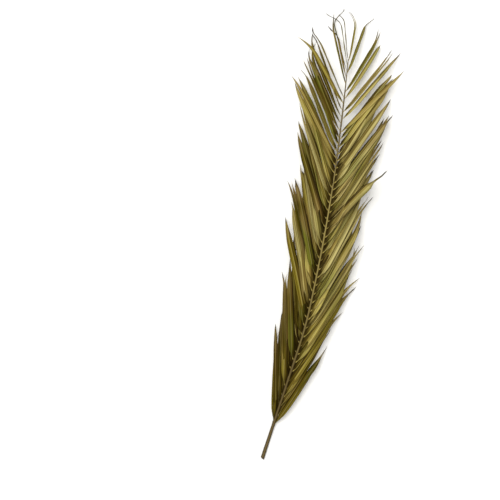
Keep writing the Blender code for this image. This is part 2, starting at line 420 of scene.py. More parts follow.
def curved(shares, keys):
    """Values at many shares on one smooth curve through (share, value) keys, without overshoot."""
    at = np.array([key[0] for key in keys])
    value = np.array([key[1] for key in keys])
    slope = np.diff(value) / np.diff(at)
    tangent = np.zeros(len(at))
    for key in range(1, len(at) - 1):
        if slope[key - 1] * slope[key] > 0:
            tangent[key] = 2 * slope[key - 1] * slope[key] / (slope[key - 1] + slope[key])
    tangent[0], tangent[-1] = slope[0], slope[-1]
    span = np.clip(np.searchsorted(at, shares, side="right") - 1, 0, len(at) - 2)
    width = np.diff(at)[span]
    t = (shares - at[span]) / width
    return (
        value[span] * (2 * t**3 - 3 * t**2 + 1)
        + tangent[span] * width * (t**3 - 2 * t**2 + t)
        + value[span + 1] * (3 * t**2 - 2 * t**3)
        + tangent[span + 1] * width * (t**3 - t**2)
    )


def straight(shares, keys):
    """Values on straight lines through (share, value) keys."""
    return np.interp(shares, *np.array(keys).T)


def ramp(values, start, end):
    """0 at start, 1 at end and a straight change between, whichever of the two is larger."""
    return np.clip((values - start) / (end - start), 0, 1)


def eased(ramped):
    """The same change with a smooth beginning and end."""
    return ramped * ramped * (3 - 2 * ramped)


def rib_underside(distance):
    """The middle of the rib's underside at this distance from the cut end."""
    place = CUT_END.copy()
    steps = max(1, round(distance / HEADING_STEP))
    for number in range(steps):
        heading = math.radians(keyed((number + 0.5) / steps * distance / RIB_LENGTH, RIB_HEADINGS))
        place += Vector((math.sin(heading), math.cos(heading), 0)) * distance / steps
    risen = max(0.0, distance - REST_LENGTH) / (RIB_LENGTH - REST_LENGTH)
    place.z = ARCH_HEIGHT * math.sin(ARCH_TURN * risen) ** ARCH_POWER
    return place


def rib_axes(distance):
    """Unit vectors at this distance: along the rib, to its right and out of its face."""
    behind = rib_underside(max(0.0, distance - AXIS_STEP))
    along = (rib_underside(distance + AXIS_STEP) - behind).normalized()
    if distance <= REST_LENGTH - AXIS_STEP:
        along = Vector((along.x, along.y, 0)).normalized()
    right = along.cross(Vector((0, 0, 1))).normalized()
    return along, right, right.cross(along)


def rib_size(distance):
    share = distance / RIB_LENGTH
    return keyed(share, RIB_WIDTHS), keyed(share, RIB_HEIGHTS)


def raised(sideways):
    """How far a leaflet rises over its neighbours where it swings outward, or sinks where it swings in."""
    rise = sideways * math.tan(PATH_LEAN)
    return rise if rise < 0 else LARGEST_RISE * (1 - math.exp(-rise / LARGEST_RISE))


class Surface:
    """Collects points and faces for one object, with what its material reads at each point and corner."""

    def __init__(self):
        self.points = []
        self.faces = []
        self.grain = []
        self.place = []
        self.dry = []
        self.layout = []

    def add_points(self, points, grain, place, dry):
        """Adds points and returns the first one's number."""
        first = sum(len(block) for block in self.points)
        self.points.append(points)
        self.grain.append(grain)
        self.place.append(place)
        self.dry.append(dry)
        return first

    def add_grid(self, rows, columns, index, corner):
        """Adds quads. index and corner give a point's number and its map place from its row and column."""
        for row in range(rows - 1):
            for column in range(columns - 1):
                around = ((row, column), (row, column + 1), (row + 1, column + 1), (row + 1, column))
                self.faces.append([index(*spot) for spot in around])
                self.layout.extend(corner(*spot) for spot in around)

    def object(self, name, material):
        points = np.concatenate(self.points)
        mesh = bpy.data.meshes.new(name)
        mesh.from_pydata(points.tolist(), [], self.faces)
        grain = mesh.attributes.new("grain", "FLOAT_VECTOR", "POINT")
        grain.data.foreach_set("vector", np.concatenate(self.grain).astype(np.float32).ravel())
        place = mesh.attributes.new("place", "FLOAT_COLOR", "POINT")
        place.data.foreach_set("color", np.concatenate(self.place).astype(np.float32).ravel())
        dry = mesh.attributes.new("dry", "FLOAT", "POINT")
        dry.data.foreach_set("value", np.concatenate(self.dry).astype(np.float32))
        layout = mesh.uv_layers.new(name="OFBake")
        layout.data.foreach_set("uv", np.array(self.layout, np.float32).ravel())
        mesh.materials.append(material)
        mesh.shade_smooth()
        mesh.update()
        thing = bpy.data.objects.new(name, mesh)
        bpy.context.scene.collection.objects.link(thing)
        return thing


# Leaflets


def leaflet_plan(side, number, draw):
    """Where a leaflet runs and how large it is, drawn in the same order as in the solid model."""
    share = number / (LEAFLET_PAIRS - 1)
    spread = share + PITCH_SHRINK * share * (1 - share)
    shift = ROOT_SHIFT * draw.uniform(-1, 1)
    length_factor = 1 - LENGTH_CHANGE * draw.random()
    width_factor = 1 - keyed(share, WIDTH_CHANGES) * draw.random()
    side_bend = SIDE_BEND * draw.uniform(-1, 1) + STRAYS.get((side, number), 0.0)
    clearance = draw.choice(CLEARANCES)

    bearing_length = RIB_LENGTH - STALK_LENGTH - LEFT_OFFSET
    distance = STALK_LENGTH + bearing_length * spread + (LEFT_OFFSET if side < 0 else 0.0)
    distance = min(distance + shift, RIB_LENGTH - END_MARGIN)
    along, right, out = rib_axes(distance)
    width, height = rib_size(distance)
    root = rib_underside(distance) + out * height * ROOT_LEVEL + right * side * width * ROOT_DEPTH
    forward_level = Vector((along.x, along.y, 0)).normalized()
    outward = right * side
    first = math.radians(keyed(share, ROOT_ANGLES))
    last = math.radians(keyed(share, RIGHT_ANGLES if side > 0 else LEFT_ANGLES))
    rise = math.tan(math.radians(keyed(share, RISE_ANGLES))) + along.z * math.cos(last)
    full_length = keyed(share, LEAFLET_LENGTHS)
    length = full_length * min(length_factor, SHORT_ONES.get((side, number), 1.0))
    fall = (TIP_LEVEL - root.z - rise * full_length) / full_length**2

    centres, across = [], []
    plan = root.copy()
    for step in range(PATH_STEPS + 1):
        distance_out = length * step / PATH_STEPS
        turned = last + (first - last) * math.exp(-distance_out / ROOT_BEND)
        forward = forward_level * math.cos(turned) + outward * math.sin(turned)
        beside = outward * math.cos(turned) - forward_level * math.sin(turned)
        sideways = side_bend * length * (step / PATH_STEPS) ** BEND_POWER
        centre = plan + beside * sideways
        centre.z = root.z + rise * distance_out + fall * distance_out**2 + raised(sideways)
        centres.append(tuple(centre))
        across.append(tuple(beside))
        plan += forward * length / PATH_STEPS
    return {
        "share": share,
        "side": side,
        "distance": distance,
        "centres": np.array(centres),
        "across": np.array(across),
        "length": length,
        "half_width": keyed(share, LEAFLET_HALF_WIDTHS) * width_factor,
        "clearance": clearance,
    }


def stations():
    """Shares along a leaflet, closer together where it bends at its root and where it ends."""
    even = np.linspace(0, 1, STATIONS)
    return EVEN_SPACING * even + (1 - EVEN_SPACING) * (even**2 * (3 - 2 * even)) ** CROWDING_POWER


def drawn_width(fine, lifted, rolled, near_tip, upper):
    """A leaflet's width as a share of the plan's: narrow if it has rolled up, and slimmer higher up."""
    if rolled:
        wider = ROLLED_WIDER_AT_TIP * near_tip if near_tip else ROLLED_WIDER_BELOW
        return fine.uniform(*ROLLED_WIDTHS) + wider
    return (fine.uniform(*WHOLE_WIDTHS) + LYING_WIDER * (not lifted)) * (1 - SLIMMER_ABOVE * upper)


def drawn_character(fine, side, share):
    """What makes one leaflet differ from the next in its finer form. The order of the draws matters."""
    near_tip = ramp(share, *TIP_ZONE)
    upper = ramp(share, *UPPER_ZONE) * (1.0 if side < 0 else UPPER_ON_RIGHT)
    low_right = ramp(share, *LOW_ZONE) * (side > 0)
    slow = max(ramp(share, *SLOW_TOP_ZONE), ramp(share, *SLOW_BASE_ZONE))
    lifted = fine.random() < LIFT_CHANCE
    rolled = fine.random() < ROLL_CHANCE + (ROLL_CHANCE_AT_LEFT_TIP * near_tip if side < 0 else 0.0)
    snapped = fine.random() < SNAP_CHANCE + SNAP_CHANCE_AT_TIP * near_tip
    thread = fine.random() < THREAD_CHANCE + THREAD_CHANCE_AT_TIP * near_tip + THREAD_CHANCE_ABOVE * upper
    tint = straight(share, TINTS[side]) + fine.gauss(0, straight(share, TINT_CHANGES[side]))
    # Painted light: a lifted leaflet is painted paler than those lying under it
    tint += straight(share, LIFTED_PAINTED_LIGHT) * lifted + ROLLED_TIP_TINT * rolled * near_tip
    loose = lifted or rolled
    sway = (LOOSE_SWAY if loose else LYING_SWAY) * straight(share, SWAY_GROWTH)
    sway *= 1 + SWAY_AT_TIP * near_tip + SWAY_ABOVE * upper
    curl = CURL + CURL_LOW_RIGHT * low_right + CURL_AT_RIGHT_TIP * near_tip * (side > 0)
    curl_change = CURL_CHANGE + CURL_CHANGE_LOW_RIGHT * low_right + CURL_CHANGE_ABOVE * upper
    curl_change += CURL_CHANGE_AT_TIP * near_tip * (1 + rolled)
    first_end, last_end = SNAPPED_ENDS
    return {
        "lift": fine.uniform(*(LOOSE_LIFTS if loose else LYING_LIFTS)),
        "flatness": fine.uniform(*(LIFTED_FLATNESS if lifted else LYING_FLATNESS)),
        "sway": fine.gauss(0, sway),
        "width": drawn_width(fine, lifted, rolled, near_tip, upper),
        "taper": TAPER + TAPER_LOW_RIGHT * low_right,
        "twist": math.radians(fine.uniform(-TWIST, TWIST)),
        "tip_twist": math.radians(fine.gauss(0, TIP_TWIST)),
        "curl": fine.gauss(curl, curl_change),
        "curl_up": fine.random() ** 2 * LARGEST_CURL_UP,
        "wave": fine.uniform(*WAVES),
        "wave_count": fine.uniform(*WAVE_COUNTS),
        "wave_start": fine.uniform(0, WAVE_TURN),
        "fold": fine.uniform(*FOLDS) + ROLLED_FOLD * rolled,
        "cup": fine.uniform(*CUPS),
        "tip_start": fine.uniform(*TIP_STARTS),
        "end": fine.uniform(first_end - SNAPPED_LOWER_AT_TIP * near_tip, last_end) if snapped else 1.0,
        "dry_from": fine.uniform(*DRY_STARTS)
        - (DRY_LOWER_AT_TIP + ROLLED_DRY_LOWER * rolled) * near_tip * fine.random(),
        "thread_from": fine.uniform(*THREAD_STARTS) - THREAD_LOWER_AT_TIP * near_tip * fine.random()
        if thread
        else NO_THREAD,
        "slow_start": slow * fine.uniform(*SLOW_STARTS),
        "cut_side": fine.choice((-1, 1)),
        "cut_from": fine.uniform(*CUT_STARTS),
        "tint": min(LARGEST_TINT, max(0.0, tint)),
        "split": fine.random() < SPLIT_CHANCE and not rolled,
        "split_start": fine.uniform(*SPLIT_STARTS),
        "split_width": fine.uniform(*SPLIT_WIDTHS),
    }


def blade_half_widths(plan, character, shares):
    """Half a blade's width at each share, narrowed towards its root and its end as its character says."""
    thread_from = character["thread_from"]
    slimmer = 1 + (character["width"] - 1) * ramp(shares, *WIDTH_RUN)
    half = plan["half_width"] * slimmer * np.maximum(curved(shares, BLADE_WIDTHS), LEAST_WIDTH)
    half = half * (1 - SLOW_NARROWING * character["slow_start"] * (1 - eased(ramp(shares, *SLOW_RUN))))
    thinned = ramp(shares, thread_from, thread_from + THREAD_NARROWING_RUN) ** NARROWING_POWER
    half = half * (1 - THREAD_NARROWING * thinned)
    half = half * (1 - character["taper"] * eased(ramp(shares, *TAPER_RUN)))
    half = half * (1 - TIP_NARROWING * ramp(shares, character["tip_start"], 1.0) ** NARROWING_POWER)
    if character["end"] < 1:
        half = half * (1 - SNAP_NARROWING * ramp(shares / character["end"], *SNAP_RUN))
    thread = ramp(shares, thread_from, thread_from + THREAD_RUN)
    point = np.clip((1 - shares) / THREAD_POINT_RUN, THREAD_POINT, 1)
    return np.maximum(half, THREAD_HALF_WIDTH * thread * point)


def blade_thicknesses(shares, q, w):
    """A blade's thickness at each point, less at its edges and more at its root, and its midrib's."""
    inside = (q - q.min()) / (q.max() - q.min())
    body = np.clip(4 * inside * (1 - inside), 0, 1) ** EDGE_POWER
    root_bulk = 1 + ROOT_BULK * np.exp(-shares / ROOT_BULK_RUN)[:, None]
    thinned = THIN_PART + (1 - THIN_PART) * np.clip(w / THICK_HALF_WIDTH, 0, 1)
    thick = BLADE_THICKNESS * body * root_bulk * thinned
    midrib = MIDRIB_THICKNESS * np.exp(-((q / MIDRIB_REACH) ** 2))
    return thick, midrib * np.clip(w / MIDRIB_HALF_WIDTH, MIDRIB_LEAST, 1) * (body > MIDRIB_BODY)


def blade_rows(plan, character, shares, spots, part):
    """Points of a leaflet's face and back: a row for each share along it, a point for each spot across it.

    A spot runs from -1 at the inner edge, by 0 at the fold, to 1 at the outer edge. part is 1 or -1 for the
    outer or inner half of a split leaflet, whose halves part towards the tip, and 0 for a whole one. The
    third result is each point's place across the blade, in metres from its fold.
    """
    steps = np.linspace(0, 1, PATH_STEPS + 1)
    centre = np.stack([np.interp(shares, steps, axis) for axis in plan["centres"].T], 1)
    beside = np.stack([np.interp(shares, steps, axis) for axis in plan["across"].T], 1)
    length = plan["length"]

    late = ramp(shares, *CURL_RUN) ** 2
    tip = ramp(shares, *TIP_RUN)
    rise = eased(ramp(shares, *LIFT_RUN))
    lean = np.radians(curved(shares, BLADE_LEANS)) * (1 - character["flatness"] * rise)
    lean = lean + character["twist"] * ramp(shares, *TWIST_RUN)
    lean = lean + character["tip_twist"] * tip**TIP_TWIST_POWER
    fold = np.radians(curved(shares, BLADE_FOLDS)) * (1 + (character["fold"] - 1) * ramp(shares, *FOLD_RUN))

    across = beside * np.cos(lean)[:, None] + UP * np.sin(lean)[:, None]
    normal = UP * np.cos(lean)[:, None] - beside * np.sin(lean)[:, None]
    beyond = np.clip((shares - character["thread_from"]) / THREAD_BEND_RUN, 0, THREAD_BEND_LIMIT)
    swing = length * (character["curl"] * late + THREAD_BEND * character["tip_twist"] * beyond**2)
    if part:
        gap = ramp(shares, character["split_start"], 1.0)
        swing = swing + part * character["split_width"] * length * gap**SPLIT_POWER
    centre = centre + across * swing[:, None] + UP * (character["curl_up"] * length * late)[:, None]
    centre = centre + beside * (character["sway"] * length * shares)[:, None]
    centre = centre + UP * (character["lift"] * rise)[:, None]

    q = spots[None, :]
    inner = 1 + ((straight(shares, INNER_WIDTHS) - 1) * (1 - character["slow_start"]))[:, None] * (q < 0)
    cut = ramp(shares / character["end"], character["cut_from"], 1.0)[:, None]
    cut = CUT_NARROWING * cut * (q * character["cut_side"] > 0)
    w = blade_half_widths(plan, character, shares)[:, None] * inner * (1 - cut)
    wing = np.sqrt(q**2 + KEEL_ROUNDING**2) - KEEL_ROUNDING
    reach = q * w * np.cos(fold)[:, None]
    height = wing * w * np.sin(fold)[:, None]
    height = height + character["cup"] * w * CUP_DEPTH * (q**2 - np.abs(q)) * ramp(shares, *CUP_RUN)[:, None]
    ripple = np.sin(shares * WAVE_TURN * character["wave_count"] + character["wave_start"])[:, None]
    ripple = ripple * np.where(q > 0, 1.0, INNER_WAVE) * np.abs(q) ** WAVE_POWER
    height = height + ripple * character["wave"] * (ramp(shares, *WAVE_RUN) * (1 - tip))[:, None]

    thick, midrib = blade_thicknesses(shares, q, w)
    middle = centre[:, None, :] + across[:, None, :] * reach[:, :, None]
    face = middle + normal[:, None, :] * (height + thick / 2)[:, :, None]
    back = face - normal[:, None, :] * (thick + midrib)[:, :, None]
    return face, back, w * q


def seated(blocks, shares, clearance):
    """Moves a whole leaflet's tip up or down until its lowest point is that clear of the surface."""
    drop = (shares**TIP_DROOP)[:, None]
    for _ in range(SEATING_ROUNDS if shares[-1] == 1 else 0):
        lowest = min(block[:, :, 2].min() for block in blocks)
        for block in blocks:
            block[:, :, 2] += (max(clearance, LEAST_CLEARANCE) - lowest) * drop
    for block in blocks:
        block[:, :, 2] = np.maximum(block[:, :, 2], LEAST_CLEARANCE)


def dryness(character, shares):
    """How dark and dry a blade is at each share, from 0 to 1."""
    dry_from = min(character["dry_from"], character["thread_from"])
    dry = np.clip((shares - dry_from) / max(1.0 - dry_from, LEAST_DRY_RUN) + DRY_AT_START, 0, 1)
    dry = np.where(shares < dry_from, 0.0, dry)
    if character["end"] < 1:
        dry = np.maximum(dry, ramp(shares / character["end"], *SNAP_DRY_RUN))
    return dry


def add_blade(surface, face, back, across, back_columns, shares, plan, character, number, cells):
    """Adds one closed blade: a face and a coarser back that meet at both edges, and a cap at each end."""
    rows, columns = face.shape[:2]
    side = plan["side"]
    dry = dryness(character, shares)
    share_across = np.abs(across) / plan["half_width"]
    along = (shares * plan["length"])[:, None] + 0 * across
    own_grain = number * GRAIN_STEP * (2 + side)

    def block(points, spots, facing):
        grain = np.stack([across[:, spots], along[:, spots], np.full_like(across[:, spots], own_grain)], 2)
        place = np.stack(
            [
                shares[:, None] + 0 * across[:, spots],
                np.clip(share_across[:, spots], 0, 1),
                np.full_like(across[:, spots], character["tint"]),
                np.full_like(across[:, spots], facing),
            ],
            2,
        )
        block_dry = (dry[:, None] + 0 * across[:, spots]).reshape(-1)
        return surface.add_points(
            points[:, spots].reshape(-1, 3), grain.reshape(-1, 3), place.reshape(-1, 4), block_dry
        )

    every = list(range(columns))
    inner = back_columns[1:-1]
    first_face = block(face, every, 1.0)
    first_back = block(back, inner, 0.0)
    last_back = len(back_columns) - 1

    def face_index(row, column):
        return first_face + row * columns + column

    def back_index(row, column):
        if column == 0:
            return face_index(row, 0)
        if column == last_back:
            return face_index(row, columns - 1)
        return first_back + row * len(inner) + column - 1

    def cell_corner(cell, row, share):
        left, low, width, tall = cell
        return (left + width * share, low + tall * shares[row] / shares[-1])

    face_cell, back_cell = cells
    flip = side > 0

    def face_at(row, column):
        return face_index(row, columns - 1 - column if flip else column)

    def back_at(row, column):
        return back_index(row, column if flip else last_back - column)

    surface.add_grid(
        rows, columns, face_at, lambda row, column: cell_corner(face_cell, row, column / (columns - 1))
    )
    surface.add_grid(
        rows, len(back_columns), back_at, lambda row, column: cell_corner(back_cell, row, column / last_back)
    )
    for row, turn in ((0, 1), (rows - 1, -1)):
        loop = [face_at(row, column) for column in range(columns)]
        loop += [back_at(row, column) for column in range(1, last_back)]
        surface.faces.append(loop[::turn])
        surface.layout.extend(cell_corner(face_cell, row, 0.5) for _ in loop)


def map_cells(count):
    """Places on the bake's square: a wide strip for each blade's face and a narrower one for its back."""
    cells = []
    half = (count + 1) // 2
    back_low = 2 * FACE_CELL_HEIGHT + CELL_GAP
    gaps = 2 * CELL_GAP
    for number in range(count):
        row, column = divmod(number, half)
        face_low = row * FACE_CELL_HEIGHT + CELL_GAP
        face = (column / half + CELL_GAP, face_low, 1 / half - gaps, FACE_CELL_HEIGHT - gaps)
        back = (number / count + CELL_GAP, back_low, 1 / count - gaps, BACK_CELL_HEIGHT - gaps)
        cells.append((face, back))
    return cells


def leaflets(name, plans, characters, material):
    """All leaflets of one side of the rib, as one object."""
    surface = Surface()
    shares = stations()
    even = np.linspace(-1, 1, FACE_ACROSS + 1)
    whole = np.sin(even * math.pi / 2) * EDGE_CROWDING + even * (1 - EDGE_CROWDING)
    half = np.linspace(0, 1, FACE_ACROSS // 2 + 1)
    blades = []
    for number, (plan, character) in enumerate(zip(plans, characters)):
        if character["split"]:
            kinds = ((half, 1), (-half[::-1], -1))
        else:
            kinds = ((whole, 0),)
        spread = shares * character["end"]
        shapes = [blade_rows(plan, character, spread, spots, part) for spots, part in kinds]
        seated([block for shape in shapes for block in shape[:2]], spread, plan["clearance"])
        blades += [(number, spread, plan, character, *shape) for shape in shapes]
    cells = map_cells(len(blades))
    for cell, (number, spread, plan, character, face, back, across) in zip(cells, blades):
        columns = face.shape[1]
        steps = BACK_ACROSS if columns > FACE_ACROSS else BACK_ACROSS // 2
        back_columns = [round(column) for column in np.linspace(0, columns - 1, steps + 1)]
        add_blade(surface, face, back, across, back_columns, spread, plan, character, number, cell)
    return surface.object(name, material)


# Rib


def rib_outline():
    """Points around the rib's section, rounded except at its flat underside, and their outward directions."""
    corners = np.array(RIB_SECTION)
    closed = np.vstack([corners, corners[:1]])
    run = np.concatenate([[0], np.cumsum(np.linalg.norm(np.diff(closed, axis=0), axis=1))])
    around = np.linspace(0, run[-1], RIB_SIDES + 1)[:-1]
    flat = np.stack([np.interp(around, run, closed[:, axis]) for axis in (0, 1)], 1)
    softened = (np.roll(flat, 1, 0) + np.roll(flat, -1, 0) + 2 * flat) / 4
    section = np.where((flat[:, 1] > UNDERSIDE_LEVEL)[:, None], softened, flat)
    outward = section - np.array(SECTION_MIDDLE)
    outward /= np.linalg.norm(outward, axis=1)[:, None]
    return section, outward


def swelling(distance, width, x, y, roots):
    """How far the rib stands out under a leaflet's root, at this distance and place in its section."""
    if y <= SWELL_LEVEL or abs(x) <= SWELL_SIDE:
        return 0.0
    offsets = [distance - at for at, side in roots if side * x > 0 and abs(distance - at) < SWELL_REACH]
    near = [math.exp(-(((offset - SWELL_AHEAD) / SWELL_LENGTH) ** 2)) for offset in offsets]
    return SWELL_HEIGHT * max(near, default=0.0) * min(1.0, width / SWELL_RIB_WIDTH)


def rib_rings(distances, section, outward, flutes, roots):
    """Rings of points around the rib at these distances, slanted at the cut end."""
    rings = []
    for distance in distances:
        along, right, out = rib_axes(distance)
        width, height = rib_size(distance)
        below = rib_underside(distance)
        slant = math.tan(CUT_SLANT) * width * max(0.0, 1 - distance / SLANT_LENGTH)
        ring = []
        for (x, y), outside, flute in zip(section, outward, flutes):
            groove = flute * FLUTE_DEPTH * (y > UNDERSIDE_LEVEL)
            push = outside * (swelling(distance, width, x, y, roots) + groove)
            place = below + right * (x * width + push[0]) + out * (y * height + push[1])
            place += along * slant * (0.5 - x)
            place.z = max(place.z, 0.0)
            ring.append(tuple(place))
        rings.append(ring)
    return np.array(rings)


def add_cut_end(surface, end, fine):
    """Closes the cut end in rings towards its middle, with fibre ends standing up a little."""
    previous = list(range(RIB_SIDES))
    centre = end.mean(0)
    inward = np.array(rib_axes(0.0)[0])
    for ring in range(1, CUT_RINGS + 1):
        scale = 1 - ring / CUT_RING_PITCH
        level = centre + (end - centre) * scale
        fibres = np.array([fine.uniform(-1, 1) for _ in range(RIB_SIDES)])
        level = level + inward * (FIBRE_HEIGHT * fibres)[:, None]
        level[:, 2] = np.maximum(level[:, 2], 0.0)
        mark = np.tile([0.0, scale, RIB_TINT, 0.0], (RIB_SIDES, 1))
        first = surface.add_points(level, (end - centre) * scale, mark, np.zeros(RIB_SIDES))
        current = list(range(first, first + RIB_SIDES))
        outer = scale + DISC_STEP
        for spot in range(RIB_SIDES):
            after = (spot + 1) % RIB_SIDES
            surface.faces.append([previous[spot], previous[after], current[after], current[spot]])
            for radius, angle in ((outer, spot), (outer, spot + 1), (scale, spot + 1), (scale, spot)):
                turn = math.tau * angle / RIB_SIDES
                x = DISC_MIDDLE + DISC_RADIUS * radius * math.cos(turn)
                y = DISC_MIDDLE + DISC_RADIUS * radius * math.sin(turn)
                surface.layout.append((x, y))
        previous = current
    surface.faces.append(previous)
    surface.layout.extend((DISC_MIDDLE, DISC_MIDDLE) for _ in previous)


def rib(plans, material):
    """The stalk and rib: a fluted bar with a low ridge on its face and a swelling under every leaflet."""
    surface = Surface()
    fine = random.Random(DETAIL_SEED + 1)
    section, outward = rib_outline()
    flutes = np.array([fine.uniform(-1, 1) for _ in range(RIB_SIDES)])
    roots = [(plan["distance"], plan["side"]) for plan in plans]
    resting = np.linspace(0, REST_LENGTH, REST_RINGS)[:-1]
    distances = np.concatenate([resting, np.linspace(REST_LENGTH, RIB_LENGTH, RIB_RINGS)])
    points = rib_rings(distances, section, outward, flutes, roots)
    rows = len(distances)
    grain = np.zeros((rows, RIB_SIDES, 3))
    grain[:, :, 0] = np.arange(RIB_SIDES)[None, :] * RIB_GRAIN_STEP
    grain[:, :, 1] = distances[:, None]
    grain[:, :, 2] = RIB_GRAIN
    place = np.ones((rows, RIB_SIDES, 4))
    place[:, :, 0] = (distances / RIB_LENGTH)[:, None]
    place[:, :, 1] = section[:, 1][None, :]
    place[:, :, 2] = RIB_TINT
    surface.add_points(
        points.reshape(-1, 3), grain.reshape(-1, 3), place.reshape(-1, 4), np.zeros(rows * RIB_SIDES)
    )

    def index(row, column):
        return row * RIB_SIDES + column % RIB_SIDES

    def corner(row, column):
        along, around = row / (rows - 1), column / RIB_SIDES
        return (SHEET_START[0] + SHEET_SIZE[0] * along, SHEET_START[1] + SHEET_SIZE[1] * around)

    surface.add_grid(rows, RIB_SIDES + 1, index, corner)
    surface.faces = [face[::-1] for face in surface.faces]
    quads = [surface.layout[start : start + 4] for start in range(0, len(surface.layout), 4)]
    surface.layout = [spot for quad in quads for spot in quad[::-1]]

    add_cut_end(surface, points[0], fine)
    surface.faces.append([index(rows - 1, spot) for spot in range(RIB_SIDES)][::-1])
    surface.layout.extend(SHEET_END for _ in range(RIB_SIDES))
    return surface.object("rib", material)


# Materials


def srgb(red, green, blue):
    """A colour as it shows, in steps of 1/255, turned into the linear values that a shader takes."""
    values = (channel / 255 for channel in (red, green, blue))
    return tuple(v / 12.92 if v <= 0.04045 else ((v + 0.055) / 1.055) ** 2.4 for v in values) + (1.0,)


def add_node(tree, kind, inputs=(), **settings):
    """A node with its settings and inputs. An input that is an output socket is linked."""
    node = tree.nodes.new("ShaderNode" + kind)
    for name, value in settings.items():
        setattr(node, name, value)
    for name, value in dict(inputs).items():
        if isinstance(value, bpy.types.NodeSocket):
            tree.links.new(value, node.inputs[name])
        else:
            node.inputs[name].default_value = value
    return node


def calculate(tree, operation, first, second=0.0, third=0.0):
    return add_node(tree, "Math", {0: first, 1: second, 2: third}, operation=operation).outputs[0]


def times(tree, first, second):
    return calculate(tree, "MULTIPLY", first, second)


def between(tree, value, low, high):
    """0 where value is at low, 1 where it is at high, and a smooth change between the two."""
    inputs = {"Value": value, "From Min": low, "From Max": high}
    return add_node(tree, "MapRange", inputs, interpolation_type="SMOOTHSTEP").outputs["Result"]


def blend(tree, factor, first, second, kind="MIX"):
    node = add_node(tree, "Mix", {0: factor, 6: first, 7: second}, data_type="RGBA", blend_type=kind)
    return node.outputs[2]


def laid(tree, colour, mask, patch, kind="MIX"):
    """The colour with a patch, which is a strength and a shade, laid over it where the mask is."""
    strength, shade = patch
    return blend(tree, times(tree, mask, strength), colour, srgb(*shade), kind)


def patched(tree, colour, value, patch, kind="MIX"):
    """The colour with a patch laid over it as value goes through the run that the patch starts with."""
    run, strength, shade = patch
    return laid(tree, colour, between(tree, value, *run), (strength, shade), kind)


def pattern(tree, vector, stretch, detail, roughness):
    """Noise at the grain coordinates, stretched along each of them, from 0 to 1."""
    stretched = add_node(tree, "VectorMath", {0: vector, 1: stretch}, operation="MULTIPLY").outputs[0]
    inputs = {"Vector": stretched, "Scale": 1.0, "Detail": detail, "Roughness": roughness}
    return add_node(tree, "TexNoise", inputs).outputs[0]


def tinted(tree, value, stops):
    """A colour that runs through these stops as value grows."""
    ramp_node = add_node(tree, "ValToRGB", {"Fac": value})
    elements = ramp_node.color_ramp.elements
    while len(elements) < len(stops):
        elements.new(0.5)
    for element, (position, colour) in zip(elements, stops):
        element.position = position
        element.color = srgb(*colour)
    return ramp_node.outputs["Color"]


def new_material(name):
    """A material, its tree and shader, and what it reads at each point: its grain and its four marks."""
    material = bpy.data.materials.new(name)
    material.use_nodes = True
    tree = material.node_tree
    shader = tree.nodes["Principled BSDF"]
    shader.inputs["Metallic"].default_value = 0.0
    grain = add_node(tree, "Attribute", attribute_name="grain").outputs["Vector"]
    marks = add_node(tree, "Attribute", attribute_name="place")
    split = add_node(tree, "SeparateColor", {"Color": marks.outputs["Color"]})
    return material, tree, shader, grain, split.outputs, marks.outputs["Alpha"]


def finish_shader(tree, shader, colour, streaks, roughness, specular, height, relief):
    """Links colour, a streaked roughness and a relief to the shader, and sets its specular level."""
    strength, depth = relief
    tree.links.new(colour, shader.inputs["Base Color"])
    smoothest, roughest = roughness
    rough = add_node(tree, "MapRange", {"Value": streaks, "To Min": smoothest, "To Max": roughest})
    tree.links.new(rough.outputs["Result"], shader.inputs["Roughness"])
    shader.inputs["Specular IOR Level"].default_value = specular
    bump = add_node(tree, "Bump", {"Height": height, "Strength": strength, "Distance": depth})
    tree.links.new(bump.outputs["Normal"], shader.inputs["Normal"])


